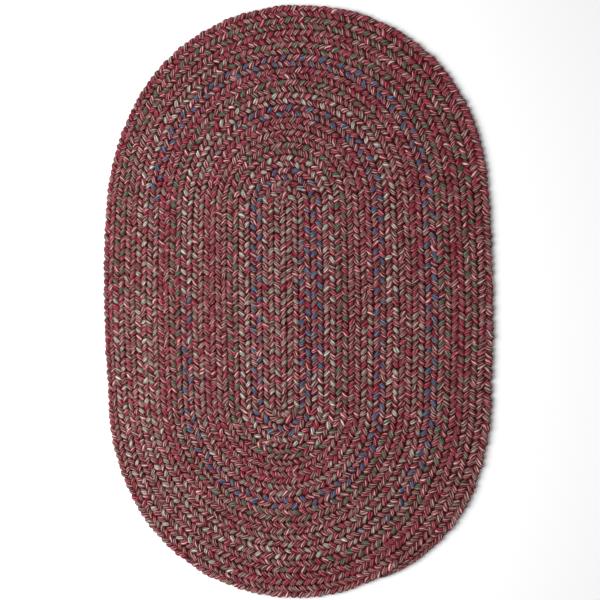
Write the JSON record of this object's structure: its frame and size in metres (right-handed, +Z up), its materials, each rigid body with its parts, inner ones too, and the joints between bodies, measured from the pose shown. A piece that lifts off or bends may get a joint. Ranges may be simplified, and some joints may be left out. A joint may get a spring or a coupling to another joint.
{
  "type": "braided rug",
  "caption": "Flat oval rug wound from a long plaited braid of heathered yarn, laced edge to edge, with a tapered tail.",
  "frame": {"origin": "on the floor under the middle of the rug's outline", "axes": "+Y along the rug towards the bend where the middle seam ends, +X across it, +Z up"},
  "size_m": [0.608, 0.8988, 0.0095],
  "materials": {
    "braided_yarn": "matte"
  },
  "bodies": {
    "root": {"braided_rug": "braided_yarn"}
  },
  "joints": []
}
